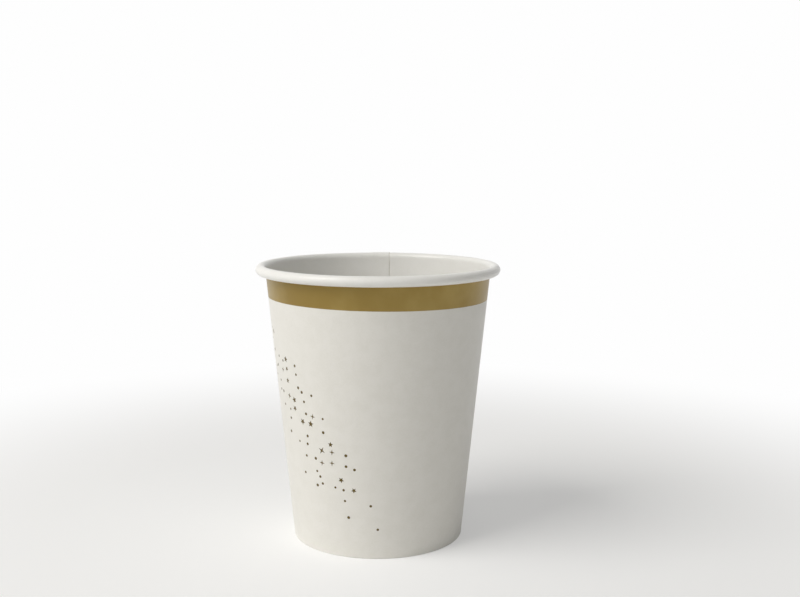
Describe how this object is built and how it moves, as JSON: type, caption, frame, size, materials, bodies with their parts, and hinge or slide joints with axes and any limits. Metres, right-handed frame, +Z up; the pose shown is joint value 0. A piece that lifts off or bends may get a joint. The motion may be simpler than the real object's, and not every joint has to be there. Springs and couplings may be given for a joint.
{
  "type": "paper cup",
  "caption": "Tapered single-wall paper drinking cup with a rolled brim, a lapped side seam and a recessed bottom held in a folded, crimped foot.",
  "frame": {"origin": "centre of the foot on the standing plane", "axes": "+Z up along the cup's axis, towards the brim; the side seam is at +Y"},
  "size_m": [0.08, 0.08, 0.0906],
  "materials": {
    "wall_board": "satin",
    "bottom_board": "satin"
  },
  "bodies": {
    "root": {"side_wall": "wall_board", "bottom_disc": "bottom_board"}
  },
  "joints": []
}
